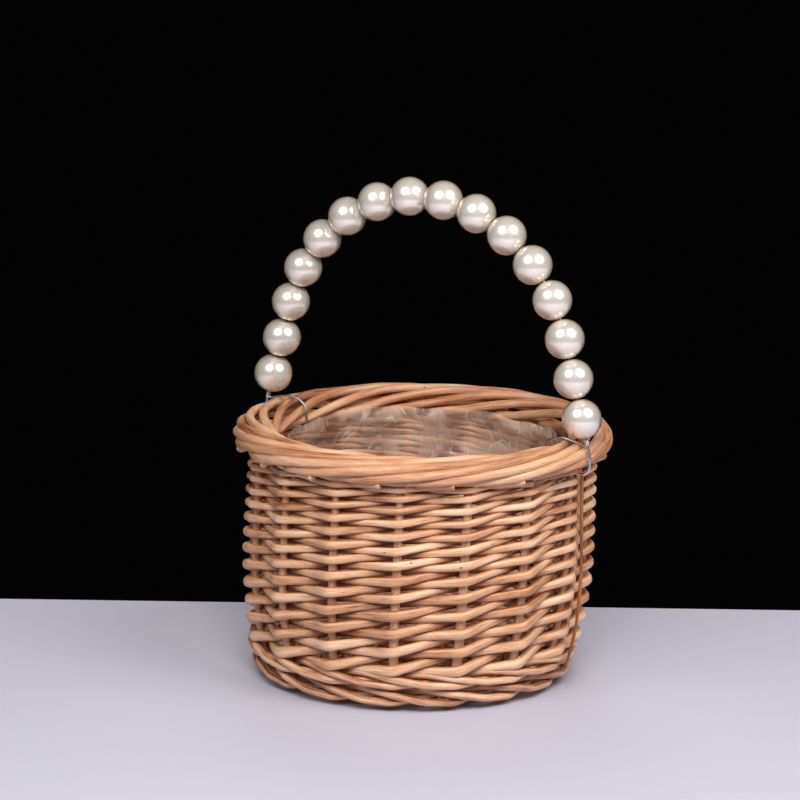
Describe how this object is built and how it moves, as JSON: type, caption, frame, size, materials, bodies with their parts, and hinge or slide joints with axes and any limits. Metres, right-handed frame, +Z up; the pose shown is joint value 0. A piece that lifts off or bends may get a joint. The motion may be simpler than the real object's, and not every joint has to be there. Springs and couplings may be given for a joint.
{
  "type": "flower girl basket",
  "caption": "Round willow basket with a rolled border, a clear film liner and an arched wire handle strung with pearl beads.",
  "frame": {"origin": "on the surface the basket stands on, under the centre of the whole object's box", "axes": "+Z up; X along the handle, from the pearl counted first to the last; Y across the handle"},
  "size_m": [0.1824, 0.1712, 0.2261],
  "materials": {
    "willow_stake": "satin",
    "willow_weaver": "satin",
    "willow_foot": "satin",
    "willow_base": "satin",
    "willow_splint": "satin",
    "film": "clear gloss",
    "wire": "bright",
    "pearl": "pearl gloss"
  },
  "bodies": {
    "basket": {"stake_01": "willow_stake", "stake_02": "willow_stake", "stake_03": "willow_stake", "stake_04": "willow_stake", "stake_05": "willow_stake", "stake_06": "willow_stake", "stake_07": "willow_stake", "stake_08": "willow_stake", "stake_09": "willow_stake", "stake_10": "willow_stake", "stake_11": "willow_stake", "stake_12": "willow_stake", "stake_13": "willow_stake", "stake_14": "willow_stake", "stake_15": "willow_stake", "stake_16": "willow_stake", "weaver_01": "willow_weaver", "weaver_02": "willow_weaver", "weaver_03": "willow_weaver", "weaver_04": "willow_weaver", "weaver_05": "willow_weaver", "weaver_06": "willow_weaver", "weaver_07": "willow_weaver", "weaver_08": "willow_weaver", "weaver_09": "willow_weaver", "weaver_10": "willow_weaver", "weaver_11": "willow_weaver", "weaver_12": "willow_weaver", "weaver_13": "willow_weaver", "weaver_14": "willow_weaver", "weaver_15": "willow_weaver", "weaver_16": "willow_weaver", "foot_wale_lower": "willow_foot", "foot_wale_upper": "willow_foot", "base_sticks_over": "willow_base", "base_sticks_under": "willow_base", "base_weaver_a": "willow_base", "base_weaver_b": "willow_base", "splint_stick": "willow_splint", "liner": "film"},
    "handle": {"handle_wire": "wire"},
    "pearl_01": {"pearl_01": "pearl"},
    "pearl_02": {"pearl_02": "pearl"},
    "pearl_03": {"pearl_03": "pearl"},
    "pearl_04": {"pearl_04": "pearl"},
    "pearl_05": {"pearl_05": "pearl"},
    "pearl_06": {"pearl_06": "pearl"},
    "pearl_07": {"pearl_07": "pearl"},
    "pearl_08": {"pearl_08": "pearl"},
    "pearl_09": {"pearl_09": "pearl"},
    "pearl_10": {"pearl_10": "pearl"},
    "pearl_11": {"pearl_11": "pearl"},
    "pearl_12": {"pearl_12": "pearl"},
    "pearl_13": {"pearl_13": "pearl"},
    "pearl_14": {"pearl_14": "pearl"},
    "pearl_15": {"pearl_15": "pearl"},
    "pearl_16": {"pearl_16": "pearl"}
  },
  "joints": [
    {"name": "handle_tilt", "type": "hinge", "parent": "basket", "child": "handle", "pos_m": [0, 0, 0.11054], "axis": [1, 0, 0], "range_deg": [-12, 12]},
    {"name": "pearl_01_spin", "type": "hinge", "parent": "handle", "child": "pearl_01", "pos_m": [-0.08235, 0, 0.12752], "axis": [-0.2588, 0, -0.9659], "continuous": true},
    {"name": "pearl_02_spin", "type": "hinge", "parent": "handle", "child": "pearl_02", "pos_m": [-0.0777, 0, 0.14487], "axis": [-0.2588, 0, -0.9659], "continuous": true},
    {"name": "pearl_03_spin", "type": "hinge", "parent": "handle", "child": "pearl_03", "pos_m": [-0.0728, 0, 0.16215], "axis": [-0.2633, 0, -0.9647], "continuous": true},
    {"name": "pearl_04_spin", "type": "hinge", "parent": "handle", "child": "pearl_04", "pos_m": [-0.0661, 0, 0.17869], "axis": [-0.4826, 0, -0.8758], "continuous": true},
    {"name": "pearl_05_spin", "type": "hinge", "parent": "handle", "child": "pearl_05", "pos_m": [-0.05569, 0, 0.1932], "axis": [-0.6749, 0, -0.7379], "continuous": true},
    {"name": "pearl_06_spin", "type": "hinge", "parent": "handle", "child": "pearl_06", "pos_m": [-0.04217, 0, 0.20486], "axis": [-0.8293, 0, -0.5587], "continuous": true},
    {"name": "pearl_07_spin", "type": "hinge", "parent": "handle", "child": "pearl_07", "pos_m": [-0.02628, 0, 0.21302], "axis": [-0.9374, 0, -0.3483], "continuous": true},
    {"name": "pearl_08_spin", "type": "hinge", "parent": "handle", "child": "pearl_08", "pos_m": [-0.00893, 0, 0.21721], "axis": [-0.993, 0, -0.1183], "continuous": true},
    {"name": "pearl_09_spin", "type": "hinge", "parent": "handle", "child": "pearl_09", "pos_m": [0.00893, 0, 0.21721], "axis": [0.993, 0, -0.1183], "continuous": true},
    {"name": "pearl_10_spin", "type": "hinge", "parent": "handle", "child": "pearl_10", "pos_m": [0.02628, 0, 0.21302], "axis": [0.9374, 0, -0.3483], "continuous": true},
    {"name": "pearl_11_spin", "type": "hinge", "parent": "handle", "child": "pearl_11", "pos_m": [0.04217, 0, 0.20486], "axis": [0.8293, 0, -0.5587], "continuous": true},
    {"name": "pearl_12_spin", "type": "hinge", "parent": "handle", "child": "pearl_12", "pos_m": [0.05569, 0, 0.1932], "axis": [0.6749, 0, -0.7379], "continuous": true},
    {"name": "pearl_13_spin", "type": "hinge", "parent": "handle", "child": "pearl_13", "pos_m": [0.0661, 0, 0.17869], "axis": [0.4826, 0, -0.8758], "continuous": true},
    {"name": "pearl_14_spin", "type": "hinge", "parent": "handle", "child": "pearl_14", "pos_m": [0.0728, 0, 0.16215], "axis": [0.2633, 0, -0.9647], "continuous": true},
    {"name": "pearl_15_spin", "type": "hinge", "parent": "handle", "child": "pearl_15", "pos_m": [0.0777, 0, 0.14487], "axis": [0.2588, 0, -0.9659], "continuous": true},
    {"name": "pearl_16_spin", "type": "hinge", "parent": "handle", "child": "pearl_16", "pos_m": [0.08235, 0, 0.12752], "axis": [0.2588, 0, -0.9659], "continuous": true}
  ]
}
